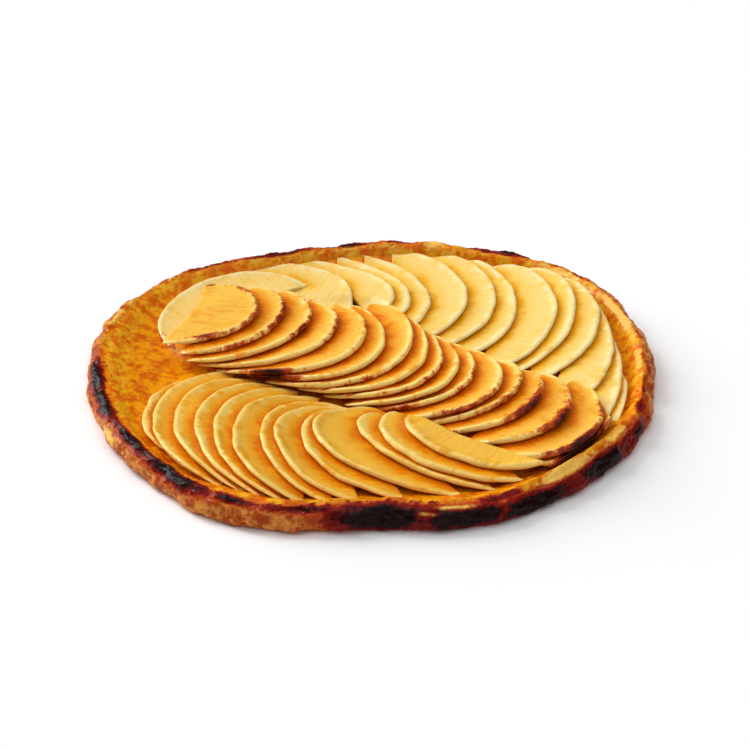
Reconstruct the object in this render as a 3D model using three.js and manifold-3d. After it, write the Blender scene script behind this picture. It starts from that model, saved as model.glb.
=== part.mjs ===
// A thin apple tart: three fans of baked apple slices on a pastry disc with a raised, craggy rim.
// Millimetres, +Z up. The origin lies under the middle of the tart's box; its front is at -Y.
import * as THREE from 'three';
import { mergeVertices } from 'three/addons/utils/BufferGeometryUtils.js';
import Module from 'manifold-3d';

// ---- driving dimensions -----------------------------------------------------------------------
const TART_RADIUS = 107.2; // mean radius of the hand-shaped pastry
const FLOOR_TOP = 3.0; // top of the pastry under the apples
const RIM_HEIGHT = 9.8; // mean height of the rim's crest
const CREST_IN = 4.6; // the crest runs this far inside the outer edge
const CLEARANCE = 0.35; // air kept between neighbouring pieces
const QUARTER = Math.PI / 2;

// The pastry isn't round: each wave is [waves per turn, height in mm, direction of its first crest
// in degrees]. The rim's crest rises and falls in the same way.
const OUTLINE_WAVES = [
  [1, 1.1, 55],
  [2, 2.3, 13],
  [3, 1.75, 35],
  [4, 2.0, -37.5],
  [5, 0.85, 17],
  [7, 1.1, -14.5],
  [9, 0.5, 11],
];
const CREST_WAVES = [
  [1, 0.6, 95],
  [2, 0.5, 33],
  [7, 0.4, 13],
];

// How far inside the outer edge the rim's inner foot lies, by direction in degrees.
const RIM_WIDTH = [
  [-45, 8],
  [0, 10],
  [45, 10],
  [90, 9],
  [135, 11],
  [180, 17],
  [210, 11.5],
  [250, 8.5],
  [290, 9],
  [315, 8],
  [360, 10],
];

// One fan of slices. Its knots give, for some slice numbers, three points of the slice's peel edge
// in plan: the middle of the curved edge, its upper tip and its lower tip. The slices between are
// interpolated. A slice lies on the one before it: its number, less the layer count under that
// place, tells how many layers up it is. `layers` gives that count along the direction `climb`. The
// count runs in arcs, like the slices: a place beside the line through `bowCentre` counts as lying
// further back, by `bow` times the square of how far it is aside.
const FANS = [
  {
    name: 'upper',
    count: 14,
    thickness: 1.6,
    lift: 0,
    climb: 180,
    bow: 0,
    bowCentre: 0,
    layers: [
      [-110, -2],
      [-84, 0],
      [-67, 2.3],
      [-51, 4.5],
      [-27, 6.7],
      [-3, 8.7],
      [15, 10.3],
      [33, 11.3],
      [66, 12.3],
      [95, 12.8],
    ],
    knots: [
      [0, 95, -32, 88, 8, 76, -58],
      [1, 94.5, -12, 85, 38, 72, -42],
      [2, 92.5, 8, 78, 60, 66, -24],
      [3, 88, 24, 70, 72, 52, -4],
      [4, 80.5, 36, 59, 82, 47, 3],
      [5, 73, 39, 49, 87, 42, 6],
      [6, 58, 50, 30, 96, 28, 14],
      [7, 49.5, 57, 20, 98, 22, 22],
      [8, 37.5, 62, 6, 99, 16, 26],
      [9, 21, 67, -14, 98, 8, 31],
      [11, 0, 74, -40, 91, 2, 44],
      [12, -26, 84, -74, 62, -12, 38],
      [13, -72, 67, -75.5, 18, -25, 68.5],
    ],
  },
  {
    name: 'lower',
    count: 13,
    thickness: 1.7,
    lift: 0,
    climb: 0,
    bow: 0,
    bowCentre: 0,
    layers: [
      [-100, -2.4],
      [-66, -0.4],
      [-54, 0.9],
      [-37, 2.8],
      [-25, 4.5],
      [-11, 6.1],
      [10, 7.6],
      [32, 8.8],
      [62, 10.3],
    ],
    knots: [
      [0, -83, -24, -56, 0, -70, -58],
      [1, -79, -33, -44, 0, -50, -80],
      [2, -71, -34, -32, -6, -44, -84],
      [3, -63, -38, -24, -10, -36, -88],
      [5, -49, -46, -12, -18, -24, -91],
      [6, -39, -50, -8, -24, -14, -92],
      [7, -34, -54, -5, -28, -4, -91],
      [8, -24, -60, -2, -31, 12, -88],
      [9, -18, -59, 4, -33, 32, -86],
      [10, 5, -64, 3, -38, 44, -83],
      [11, 14, -68, 9, -39, 54, -78],
      [12, 29, -69, 15, -44, 64, -71],
    ],
  },
  {
    name: 'middle',
    count: 17,
    thickness: 1.9,
    lift: 2.8,
    climb: 134,
    bow: 0.008,
    bowCentre: -13,
    layers: [
      [-100, -7.7],
      [-86, -1.6],
      [-72, 0.7],
      [-56, 2.3],
      [-38, 4.2],
      [-20, 6.4],
      [0, 8.5],
      [20, 10.3],
      [40, 12.7],
      [58, 13.6],
      [74, 14.1],
      [100, 16.2],
    ],
    knots: [
      [0, 81.5, -64, 82, -22.5, 53.5, -66],
      [1, 78, -59.5, 77, -10.5, 44, -60.5],
      [2, 69, -49.5, 63, -8, 34.5, -54],
      [3, 59, -38.5, 51.5, -4, 21, -47],
      [4, 50.5, -32.5, 44.5, 5, 9, -40],
      [5, 43.5, -34.5, 35, 14.5, -0.5, -32],
      [6, 32.5, -28, 27.5, 23, -10.5, -21.5],
      [7, 26.5, -25.5, 21, 30.5, -20, -13.5],
      [8, 20, -22, 15.5, 38, -27.5, -6.5],
      [10, 6, -13.5, 2.5, 56.5, -48, 3],
      [11, -1.5, -9.5, -11, 59.5, -54.5, 5.5],
      [12, -7.5, -1.5, -19.5, 61, -62, 4],
      [14, -29, 17, -36.5, 64.5, -69.5, 4],
      [15, -37.5, 26, -48.5, 65, -73.5, 6.5],
      [16, -44.5, 32.5, -66.5, 67.5, -80, 11.5],
    ],
  },
];

// ---- pastry ------------------------------------------------------------------------------------
const PASTRY_SPOKES = 108;

// The rim's cross-section: [way in from the outer edge, height over the table / crest height].
const RIM_SECTION = [
  [2.6, 0.0],
  [0.8, 0.14],
  [0.0, 0.38],
  [0.5, 0.62],
  [1.7, 0.83],
  [3.2, 0.96],
  [4.6, 1.0],
  [6.0, 0.93],
];
const INNER_WALL = [0.3, 0.65]; // places between the crest and the inner foot that get a ring
const FLOOR_RINGS = [0, 5, 12, 40, 70]; // rings on the floor, this far inside the inner foot
const FOOT_RISE = 2.2; // the floor creeps up this much towards the inner foot
const FOOT_RISE_WIDTH = 22;

// Flakes and blisters on the rim: [waves per turn, waves from its outer to its inner side, phase in
// turns, height in mm].
const CRAG_WAVES = [
  [9, 0, 0.21, 0.25],
  [14, 0.3, -0.1, 0.25],
  [23, 0.8, 0, 0.33],
  [37, -1.4, 0.32, 0.33],
];
const CRAG_LIFT = 0.5; // they stand up by this share of what they stand out

// ---- slices ------------------------------------------------------------------------------------
const PEEL_STEPS = 10; // steps along the curved peel edge
const CROSS_STEPS = 3; // steps from the peel edge to the core side
const CORE_LENGTH = 0.9; // length of the core side, as a share of the slice's
const CORE_DIP = 3.2; // the hollow left by the core, mid-way along the straight side
const SLICE_JITTER = 0.7; // a slice's three points lie up to this far off the fan's even run
const LOWEST_LEVEL = -0.25; // a slice is cut off where it lies lower than this many layers
const TRIM_STEP = 0.02; // the cuts are found to this share of the slice's size
const LEAST_REACH = 0.3; // what is left at least of each half of a slice's length
const LEAST_WIDTH = 0.1; // what is left of a slice's width at its cut-off ends
const LAYER_SOFTNESS = 0.8; // rounds the start of a fan, where the first slices lie flat

// The middle fan lies over the ends of the other two, on a low mound of pastry.
const MOUND_INSET = 0.82; // the mound's outline against the middle fan's own
const MOUND_DROP = 0.7; // air between the mound and the slices on it
const MOUND_BOTTOM = 1.2;
const MOUND_STEPS = 12; // steps along each side of its outline
const ROOM_HEIGHT = 30; // anything above the highest slice
const ROOM_AIR = 0.6; // air beside its slices, in plan
const ROOM_COPIES = 6;

const MERGE_DISTANCE = 1e-4; // points closer than this are one

// ---- helpers -----------------------------------------------------------------------------------
const radians = (degrees) => (degrees * Math.PI) / 180;

// A repeatable stream of numbers from 0 to 1.
function seeded(seed) {
  let state = seed;
  return () => {
    state = (state + 0x6d2b79f5) | 0;
    let mixed = Math.imul(state ^ (state >>> 15), 1 | state);
    mixed = (mixed + Math.imul(mixed ^ (mixed >>> 7), 61 | mixed)) ^ mixed;
    return ((mixed ^ (mixed >>> 14)) >>> 0) / 4294967296;
  };
}

// A smooth curve through rows [t, a, b, ...]: gives the values [a, b, ...] at any t.
function through(rows, t) {
  const last = rows.length - 1;
  let i = rows.findIndex((row) => row[0] > t) - 1;
  if (i === -2) i = last - 1;
  if (i === -1) i = 0;
  const [low, high] = [rows[i], rows[i + 1]];
  const span = high[0] - low[0];
  const u = (t - low[0]) / span;
  const v = Math.min(1, Math.max(0, u));
  const slope = (n, k) => {
    const [before, after] = [rows[Math.max(0, n - 1)], rows[Math.min(last, n + 1)]];
    return (after[k] - before[k]) / (after[0] - before[0]);
  };
  return low.slice(1).map((_, column) => {
    const k = column + 1;
    const [m0, m1] = [slope(i, k) * span, slope(i + 1, k) * span];
    const rise = high[k] - low[k];
    const inside = low[k] + v * (m0 + v * (3 * rise - 2 * m0 - m1 + v * (m0 + m1 - 2 * rise)));
    return inside + (u - v) * (u < 0 ? m0 : m1);
  });
}

// The larger of x and 0, with the corner rounded off.
const softFloor = (x, softness) => 0.5 * (x + Math.hypot(x, softness));

// ---- the tart's outline and floor --------------------------------------------------------------
function wavy(mean, rows, angle) {
  return rows.reduce(
    (value, [waves, height, crest]) => value + height * Math.cos(waves * (angle - radians(crest))),
    mean,
  );
}

const outlineRadius = (angle) => wavy(TART_RADIUS, OUTLINE_WAVES, angle);

function innerFootRadius(angle) {
  let degrees = THREE.MathUtils.radToDeg(angle) % 360;
  if (degrees < -45) degrees += 360;
  if (degrees > 315) degrees -= 360;
  return outlineRadius(angle) - through(RIM_WIDTH, degrees)[0];
}

// Height of the pastry floor, which creeps up towards the rim.
function floorHeight(x, y) {
  const inside = innerFootRadius(Math.atan2(y, x)) - Math.hypot(x, y);
  const nearness = Math.min(1, Math.max(0, 1 - inside / FOOT_RISE_WIDTH));
  return FLOOR_TOP + FOOT_RISE * nearness * nearness;
}

// How many layers of a fan lie under the place (x, y).
function layersUnder(fan, x, y) {
  const [climbX, climbY] = [Math.cos(radians(fan.climb)), Math.sin(radians(fan.climb))];
  const aside = x * climbY - y * climbX - fan.bowCentre;
  const way = x * climbX + y * climbY - fan.bow * aside * aside;
  return softFloor(through(fan.layers, way)[0], LAYER_SOFTNESS);
}

// ---- apple slices ------------------------------------------------------------------------------
// The whole slice in plan, as two curves from its lower tip (turn -1) to its upper tip (turn 1):
// half an ellipse for the peel edge, and the straighter core side with the hollow of the core.
function sliceCurves(fan, number) {
  const random = seeded(1000 * (FANS.indexOf(fan) + 1) + number);
  const jitter = () => SLICE_JITTER * (2 * random() - 1);
  const [mx, my, ux, uy, lx, ly] = through(fan.knots, number).map((value) => value + jitter());
  const upper = new THREE.Vector2(ux, uy);
  const lower = new THREE.Vector2(lx, ly);
  const centre = upper.clone().lerp(lower, 0.5);
  const bulge = new THREE.Vector2(mx, my).sub(centre);
  const half = upper.clone().sub(centre);
  const dip = CORE_DIP / bulge.length();
  const place = (depth, way) => centre.clone().addScaledVector(bulge, depth).addScaledVector(half, way);
  const peel = (turn) => place(Math.cos(turn * QUARTER), Math.sin(turn * QUARTER));
  const core = (turn) => {
    const hollow = dip * Math.cos(turn * QUARTER) ** 2;
    return place(hollow, CORE_LENGTH * Math.sin(turn * QUARTER));
  };
  return { peel, core };
}

// The outline of what is left of a slice once the parts that would sink into the pastry are cut
// off: `along` runs from -1 (lower end) to 1 (upper end), `across` from 0 (peel) to 1 (core).
function sliceOutline(fan, number) {
  const { peel, core } = sliceCurves(fan, number);
  const sinks = (point) => number - layersUnder(fan, point.x, point.y) < LOWEST_LEVEL;
  const reach = (side) => {
    let turn = LEAST_REACH;
    while (turn < 1 && !sinks(peel(side * (turn + TRIM_STEP)))) turn += TRIM_STEP;
    return Math.min(turn, 1);
  };
  const [lowerReach, upperReach] = [reach(-1), reach(1)];
  return (along, across) => {
    const turn = along * (along < 0 ? lowerReach : upperReach);
    const [outer, inner] = [peel(turn), core(turn)];
    let share = 1;
    while (share > LEAST_WIDTH && sinks(outer.clone().lerp(inner, share))) share -= TRIM_STEP;
    return keepInsideRim(outer.lerp(inner, across * share));
  };
}

function keepInsideRim(point) {
  const limit = innerFootRadius(Math.atan2(point.y, point.x)) - CLEARANCE;
  return point.length() > limit ? point.setLength(limit) : point;
}

// A thin sheet over an outline: top(x, y) and bottom(x, y) give its two faces.
function sheet(outline, top, bottom) {
  const positions = [];
  const indices = [];
  const columns = CROSS_STEPS + 1;
  const index = (i, j, face) => (i * columns + j) * 2 + face;
  for (let i = 0; i <= PEEL_STEPS; i += 1) {
    for (let j = 0; j <= CROSS_STEPS; j += 1) {
      const { x, y } = outline((2 * i) / PEEL_STEPS - 1, j / CROSS_STEPS);
      positions.push(x, y, top(x, y), x, y, bottom(x, y));
    }
  }
  const quad = (a, b, c, d) => indices.push(a, b, c, a, c, d);
  for (let i = 0; i < PEEL_STEPS; i += 1) {
    for (let j = 0; j < CROSS_STEPS; j += 1) {
      quad(index(i, j, 0), index(i + 1, j, 0), index(i + 1, j + 1, 0), index(i, j + 1, 0));
      quad(index(i, j, 1), index(i, j + 1, 1), index(i + 1, j + 1, 1), index(i + 1, j, 1));
    }
    quad(index(i, 0, 1), index(i + 1, 0, 1), index(i + 1, 0, 0), index(i, 0, 0));
    const j = CROSS_STEPS;
    quad(index(i, j, 0), index(i + 1, j, 0), index(i + 1, j, 1), index(i, j, 1));
  }
  for (let j = 0; j < CROSS_STEPS; j += 1) {
    quad(index(0, j, 0), index(0, j + 1, 0), index(0, j + 1, 1), index(0, j, 1));
    const i = PEEL_STEPS;
    quad(index(i, j, 1), index(i, j + 1, 1), index(i, j + 1, 0), index(i, j, 0));
  }
  return facingOut(positions, indices);
}

// A closed geometry whose faces point outwards, whichever way its outline ran.
function facingOut(positions, indices) {
  let volume = 0;
  const a = new THREE.Vector3();
  const b = new THREE.Vector3();
  const c = new THREE.Vector3();
  for (let i = 0; i < indices.length; i += 3) {
    a.fromArray(positions, 3 * indices[i]);
    b.fromArray(positions, 3 * indices[i + 1]);
    c.fromArray(positions, 3 * indices[i + 2]);
    volume += a.dot(b.cross(c));
  }
  if (volume < 0) indices.reverse();
  const geometry = new THREE.BufferGeometry();
  geometry.setAttribute('position', new THREE.Float32BufferAttribute(positions, 3));
  geometry.setIndex(indices);
  return geometry;
}

function sliceGeometry(fan, number) {
  const step = fan.thickness + CLEARANCE;
  const bottom = (x, y) => {
    const layer = number - layersUnder(fan, x, y) - LOWEST_LEVEL;
    return floorHeight(x, y) + CLEARANCE + fan.lift + step * layer;
  };
  const top = (x, y) => bottom(x, y) + fan.thickness;
  return sheet(sliceOutline(fan, number), top, bottom);
}

// ---- joining and cutting -----------------------------------------------------------------------
const manifold = await Module();
manifold.setup();

function toSolid(geometry) {
  const merged = mergeVertices(geometry, MERGE_DISTANCE);
  return new manifold.Manifold(
    new manifold.Mesh({
      numProp: 3,
      vertProperties: new Float32Array(merged.attributes.position.array),
      triVerts: new Uint32Array(merged.index.array),
    }),
  );
}

function toGeometry(solid) {
  const mesh = solid.getMesh();
  const geometry = new THREE.BufferGeometry();
  geometry.setAttribute('position', new THREE.BufferAttribute(mesh.vertProperties, 3));
  geometry.setIndex(new THREE.BufferAttribute(mesh.triVerts, 1));
  return geometry;
}

// What is left of a slice once the room of the fan over it is cut away: its largest piece.
function trimmed(geometry, room) {
  const pieces = toSolid(geometry).subtract(room).decompose();
  return toGeometry(pieces.reduce((best, piece) => (piece.volume() > best.volume() ? piece : best)));
}

// The room a fan's slices take, from the pastry upwards. Copies moved to all sides put air round it.
function fanRoom(fan) {
  const rooms = [];
  for (let number = 0; number < fan.count; number += 1) {
    const room = toSolid(sheet(sliceOutline(fan, number), () => ROOM_HEIGHT, () => 0));
    for (let i = 0; i < ROOM_COPIES; i += 1) {
      const angle = (2 * Math.PI * i) / ROOM_COPIES;
      rooms.push(room.translate(ROOM_AIR * Math.cos(angle), ROOM_AIR * Math.sin(angle), 0));
    }
  }
  return manifold.Manifold.union(rooms);
}

// ---- pastry ------------------------------------------------------------------------------------
// How far the rim's skin stands out; `over` runs from 0 outside to 1 inside.
function crag(angle, over) {
  return CRAG_WAVES.reduce(
    (out, [waves, across, phase, height]) =>
      out + height * Math.sin(waves * angle + 2 * Math.PI * (across * over + phase)),
    0,
  );
}

// One spoke of the pastry, from the middle of its top over the rim to the middle underneath, as
// [distance from the centre, height] pairs.
function pastrySpoke(angle) {
  const edge = outlineRadius(angle);
  const foot = innerFootRadius(angle);
  const crest = wavy(RIM_HEIGHT, CREST_WAVES, angle);
  const height = (radius) => floorHeight(radius * Math.cos(angle), radius * Math.sin(angle));
  const rim = RIM_SECTION.map(([inward, share], i) => {
    const stand = i === 0 ? 0 : crag(angle, i / RIM_SECTION.length);
    const out = inward < CREST_IN ? stand : 0;
    const up = i < 2 ? 0 : CRAG_LIFT * stand;
    return [edge - inward + out, crest * share + up];
  });
  const [lipRadius, lipHeight] = rim[rim.length - 1];
  const wall = INNER_WALL.map((way) => {
    const drop = THREE.MathUtils.smoothstep(way, 0, 1);
    return [lipRadius + way * (foot - lipRadius), lipHeight + drop * (height(foot) - lipHeight)];
  });
  const floor = FLOOR_RINGS.map((inward) => [foot - inward, height(foot - inward)]);
  return [...rim, ...wall, ...floor];
}

function pastryGeometry() {
  const positions = [];
  const indices = [];
  const spokes = Array.from({ length: PASTRY_SPOKES }, (_, i) => (2 * Math.PI * i) / PASTRY_SPOKES);
  const rings = pastrySpoke(0).length;
  for (const angle of spokes) {
    for (const [radius, height] of pastrySpoke(angle)) {
      positions.push(radius * Math.cos(angle), radius * Math.sin(angle), height);
    }
  }
  const underside = positions.length / 3;
  positions.push(0, 0, 0, 0, 0, FLOOR_TOP);
  for (let i = 0; i < PASTRY_SPOKES; i += 1) {
    const here = i * rings;
    const next = ((i + 1) % PASTRY_SPOKES) * rings;
    for (let j = 0; j < rings - 1; j += 1) {
      indices.push(here + j, next + j, next + j + 1, here + j, next + j + 1, here + j + 1);
    }
    indices.push(underside, next, here);
    indices.push(here + rings - 1, next + rings - 1, underside + 1);
  }
  return facingOut(positions, indices);
}

// The low mound of pastry that carries the middle fan.
function moundGeometry(fan) {
  const [first, last] = [0, fan.count - 1].map((number) => sliceOutline(fan, number));
  const shape = new THREE.Shape();
  const edge = [];
  for (let i = 0; i <= MOUND_STEPS; i += 1) {
    const outline = sliceOutline(fan, (fan.count - 1) * (i / MOUND_STEPS));
    edge.push(outline(1, 0.5));
    edge.unshift(outline(-1, 0.5));
  }
  const centre = first(0, 1).add(last(0, 0)).multiplyScalar(0.5);
  shape.setFromPoints(edge.map((point) => point.sub(centre).multiplyScalar(MOUND_INSET).add(centre)));
  const top = FLOOR_TOP + fan.lift + CLEARANCE - MOUND_DROP;
  const geometry = new THREE.ExtrudeGeometry(shape, { depth: top - MOUND_BOTTOM, bevelEnabled: false });
  geometry.deleteAttribute('normal');
  geometry.deleteAttribute('uv');
  return geometry.translate(0, 0, MOUND_BOTTOM);
}

// ---- assembly ----------------------------------------------------------------------------------
const COLOURS = {
  pastry: { color: 0xc8843a, roughness: 0.55 },
  upper: { color: 0xf6dc9c, roughness: 0.35 },
  lower: { color: 0xf1c676, roughness: 0.35 },
  middle: { color: 0xe9a83f, roughness: 0.35 },
};

function namedMesh(name, geometry, colour) {
  const material = new THREE.MeshStandardMaterial({ ...COLOURS[colour], metalness: 0 });
  const mesh = new THREE.Mesh(geometry, material);
  mesh.name = name;
  return mesh;
}

function buildTart() {
  const tart = new THREE.Group();
  const middle = FANS.find((fan) => fan.name === 'middle');
  const room = fanRoom(middle);
  const pastry = toSolid(pastryGeometry()).add(toSolid(moundGeometry(middle)));
  tart.add(namedMesh('crust', toGeometry(pastry), 'pastry'));
  for (const fan of FANS) {
    for (let number = 0; number < fan.count; number += 1) {
      const whole = sliceGeometry(fan, number);
      const geometry = fan === middle ? whole : trimmed(whole, room);
      tart.add(namedMesh(`slice_${fan.name}_${number + 1}`, geometry, fan.name));
    }
  }
  const { x, y } = new THREE.Box3().setFromObject(tart, true).getCenter(new THREE.Vector3());
  tart.position.set(-x, -y, 0);
  return tart;
}

export default buildTart();
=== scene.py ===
"""The look of a thin apple tart: three fans of glazed, baked apple slices on a craggy pastry disc.

Everything is laid out in millimetres in the solids' own plan, and turned into metres when a mesh
is made. Each apple slice and the crust replace the plain solid of the same name.
"""

import math

import bpy
import numpy as np
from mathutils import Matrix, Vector, noise

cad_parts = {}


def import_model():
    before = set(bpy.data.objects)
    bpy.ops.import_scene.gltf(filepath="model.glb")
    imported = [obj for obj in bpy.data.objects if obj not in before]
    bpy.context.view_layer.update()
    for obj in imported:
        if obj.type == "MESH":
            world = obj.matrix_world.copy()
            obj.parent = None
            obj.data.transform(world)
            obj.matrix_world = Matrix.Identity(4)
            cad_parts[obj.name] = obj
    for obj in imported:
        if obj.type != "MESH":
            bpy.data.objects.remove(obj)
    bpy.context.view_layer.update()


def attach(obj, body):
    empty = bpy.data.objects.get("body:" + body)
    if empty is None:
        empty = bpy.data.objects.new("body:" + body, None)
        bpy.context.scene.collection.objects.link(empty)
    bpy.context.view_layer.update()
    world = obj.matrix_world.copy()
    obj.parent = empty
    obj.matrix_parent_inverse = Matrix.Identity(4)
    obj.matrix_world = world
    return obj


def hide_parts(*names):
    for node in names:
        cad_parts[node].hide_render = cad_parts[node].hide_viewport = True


MM = 0.001
PLAN_SHIFT = (-0.367, -1.388)  # the solids are centred on their box

# ---- driving dimensions, shared with the solids ------------------------------------------------
TART_RADIUS = 107.2  # mean radius of the hand-shaped pastry
FLOOR_TOP = 3.0  # top of the pastry under the apples
RIM_HEIGHT = 9.8  # mean height of the rim's crest
CREST_IN = 4.6  # the crest runs this far inside the outer edge
CLEARANCE = 0.35  # air kept between neighbouring solids

# The pastry isn't round: waves in a whole turn, height, direction of the first crest in degrees.
# The rim's crest rises and falls in the same way.
OUTLINE_WAVES = (
    (1, 1.1, 55),
    (2, 2.3, 13),
    (3, 1.75, 35),
    (4, 2.0, -37.5),
    (5, 0.85, 17),
    (7, 1.1, -14.5),
    (9, 0.5, 11),
)
CREST_WAVES = ((1, 0.6, 95), (2, 0.5, 33), (7, 0.4, 13))

# How far inside the outer edge the rim's inner foot lies, by direction in degrees.
RIM_WIDTH = (
    (-45, 8),
    (0, 10),
    (45, 10),
    (90, 9),
    (135, 11),
    (180, 17),
    (210, 11.5),
    (250, 8.5),
    (290, 9),
    (315, 8),
    (360, 10),
)

# The rim's cross-section: way in from the outer edge, share of the crest's height.
RIM_SECTION = (
    (2.6, 0.0),
    (0.8, 0.14),
    (0.0, 0.38),
    (0.5, 0.62),
    (1.7, 0.83),
    (3.2, 0.96),
    (4.6, 1.0),
    (6.0, 0.93),
)
INNER_WALL = (0.3, 0.65)  # places between the crest and the inner foot that get a ring
FOOT_RISE = 2.2  # the floor creeps up this much towards the inner foot
FOOT_RISE_WIDTH = 22.0

# Crags on the rim: waves in a whole turn, waves from its outer to its inner side, phase in turns,
# height.
CRAG_WAVES = ((9, 0, 0.21, 0.25), (14, 0.3, -0.1, 0.25), (23, 0.8, 0, 0.33), (37, -1.4, 0.32, 0.33))
CRAG_LIFT = 0.5  # they stand up by this share of what they stand out

CORE_LENGTH = 0.9  # length of the core side, as a share of the slice's
CORE_DIP = 3.2  # the hollow left by the core, mid-way along the straight side
SLICE_JITTER = 0.7  # a slice's three points lie up to this far off the fan's even run
LOWEST_LEVEL = -0.25  # a slice is cut off where it lies lower than this many layers
TRIM_STEP = 0.02  # the cuts are found to this share of the slice's size
LEAST_REACH = 0.3  # what is left at least of each half of a slice's length
LEAST_WIDTH = 0.1  # what is left at least of a slice's width
LAYER_SOFTNESS = 0.8  # rounds the start of a fan, where the first slices lie flat
MOUND_DROP = 0.7  # air between the mound under the middle fan and the slices on it

# One fan of slices. Its knots give, for some slice numbers, three points of the slice's peel edge
# in plan: the middle of the curved edge, its upper tip and its lower tip. The slices between are
# interpolated. A slice lies on the one before it: its number, less the layer count under that
# place, tells how many layers up it is. "layers" gives that count along the direction "climb". The
# count runs in arcs, like the slices: a place beside the line through "bow_centre" counts as lying
# further back, by "bow" times the square of how far it is aside.
FANS = (
    {
        "name": "upper",
        "count": 14,
        "thickness": 1.6,
        "lift": 0.0,
        "climb": 180,
        "bow": 0,
        "bow_centre": 0,
        "layers": (
            (-110, -2),
            (-84, 0),
            (-67, 2.3),
            (-51, 4.5),
            (-27, 6.7),
            (-3, 8.7),
            (15, 10.3),
            (33, 11.3),
            (66, 12.3),
            (95, 12.8),
        ),
        "knots": (
            (0, 95, -32, 88, 8, 76, -58),
            (1, 94.5, -12, 85, 38, 72, -42),
            (2, 92.5, 8, 78, 60, 66, -24),
            (3, 88, 24, 70, 72, 52, -4),
            (4, 80.5, 36, 59, 82, 47, 3),
            (5, 73, 39, 49, 87, 42, 6),
            (6, 58, 50, 30, 96, 28, 14),
            (7, 49.5, 57, 20, 98, 22, 22),
            (8, 37.5, 62, 6, 99, 16, 26),
            (9, 21, 67, -14, 98, 8, 31),
            (11, 0, 74, -40, 91, 2, 44),
            (12, -26, 84, -74, 62, -12, 38),
            (13, -72, 67, -75.5, 18, -25, 68.5),
        ),
    },
    {
        "name": "lower",
        "count": 13,
        "thickness": 1.7,
        "lift": 0.0,
        "climb": 0,
        "bow": 0,
        "bow_centre": 0,
        "layers": (
            (-100, -2.4),
            (-66, -0.4),
            (-54, 0.9),
            (-37, 2.8),
            (-25, 4.5),
            (-11, 6.1),
            (10, 7.6),
            (32, 8.8),
            (62, 10.3),
        ),
        "knots": (
            (0, -83, -24, -56, 0, -70, -58),
            (1, -79, -33, -44, 0, -50, -80),
            (2, -71, -34, -32, -6, -44, -84),
            (3, -63, -38, -24, -10, -36, -88),
            (5, -49, -46, -12, -18, -24, -91),
            (6, -39, -50, -8, -24, -14, -92),
            (7, -34, -54, -5, -28, -4, -91),
            (8, -24, -60, -2, -31, 12, -88),
            (9, -18, -59, 4, -33, 32, -86),
            (10, 5, -64, 3, -38, 44, -83),
            (11, 14, -68, 9, -39, 54, -78),
            (12, 29, -69, 15, -44, 64, -71),
        ),
    },
    {
        "name": "middle",
        "count": 17,
        "thickness": 1.9,
        "lift": 2.8,
        "climb": 134,
        "bow": 0.008,
        "bow_centre": -13,
        "layers": (
            (-100, -7.7),
            (-86, -1.6),
            (-72, 0.7),
            (-56, 2.3),
            (-38, 4.2),
            (-20, 6.4),
            (0, 8.5),
            (20, 10.3),
            (40, 12.7),
            (58, 13.6),
            (74, 14.1),
            (100, 16.2),
        ),
        "knots": (
            (0, 81.5, -64, 82, -22.5, 53.5, -66),
            (1, 78, -59.5, 77, -10.5, 44, -60.5),
            (2, 69, -49.5, 63, -8, 34.5, -54),
            (3, 59, -38.5, 51.5, -4, 21, -47),
            (4, 50.5, -32.5, 44.5, 5, 9, -40),
            (5, 43.5, -34.5, 35, 14.5, -0.5, -32),
            (6, 32.5, -28, 27.5, 23, -10.5, -21.5),
            (7, 26.5, -25.5, 21, 30.5, -20, -13.5),
            (8, 20, -22, 15.5, 38, -27.5, -6.5),
            (10, 6, -13.5, 2.5, 56.5, -48, 3),
            (11, -1.5, -9.5, -11, 59.5, -54.5, 5.5),
            (12, -7.5, -1.5, -19.5, 61, -62, 4),
            (14, -29, 17, -36.5, 64.5, -69.5, 4),
            (15, -37.5, 26, -48.5, 65, -73.5, 6.5),
            (16, -44.5, 32.5, -66.5, 67.5, -80, 11.5),
        ),
    },
)
LOWER, MIDDLE = FANS[1:]

# ---- finer shapes of the slices ----------------------------------------------------------------
ALONG_STEPS = 110  # steps along a slice
ACROSS_STEPS = 26  # steps from its peel edge to its core side
ACROSS_CROWDING = 1.7  # above 1, the steps crowd towards the peel edge
EDGE_ROUNDING = 1.8  # the peel edge is rounded over this width
EDGE_POWER = 2.1  # 2 would round it as an ellipse; a little more is a little blunter
END_THINNING = 0.8  # a slice's tips are thinner by this share
END_SINK = 0.9  # and lie this much lower
END_POWER = 4  # the higher, the nearer to the tips this begins
GAP_FILLED = 0.3  # the slices swell to fill the air between the solids
HEAP_SUNK = 1.5  # and the last slice of a fan lies this much lower for it
LEAST_BOTTOM = 0.1  # every slice stays at least this far above the crust's floor
JITTER_SEEDS = 1000  # the solids' own numbering, so that each slice lies where its solid does
SLICE_SEEDS = 100  # the numbering for the finer shapes
WOBBLES = ((15.0, 0.75), (4.5, 0.22))  # a peel edge wanders in plan: length, height of the waves
WOBBLE_DEPTH = 6.0  # the wandering dies out this far in from the edge
CURL_WIDTH = 3.6  # a peel edge that curls up does so over this width
CURL_EVEN = 0.35  # the share of the curl that every slice has
CURL_OWN = 0.65  # the share that a slice has more or less of
CURL_CHANGE = 0.8  # how much the curl changes along a slice
CURL_WAVE = 13.0
CURL_SEED = 7000
RIPPLE = 0.3  # the slices of a fan wave up and down together by this much
RIPPLE_WAVE = 17.0
RIDGE_INWARD = 1.5  # a soft ridge runs along the peel edge, this far in
RIDGE_WIDTH = 1.5
RIDGE_EVEN = 0.75  # the share of the ridge's height that it has on average
RIDGE_CHANGE = 0.6  # how much that changes along the edge
RIDGE_WAVE = 9.0
RIDGE_SEED = 31
GRAIN = ((2.6, 0.1), (1.1, 0.05))  # fine unevenness of the top: length, height of the waves
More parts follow.
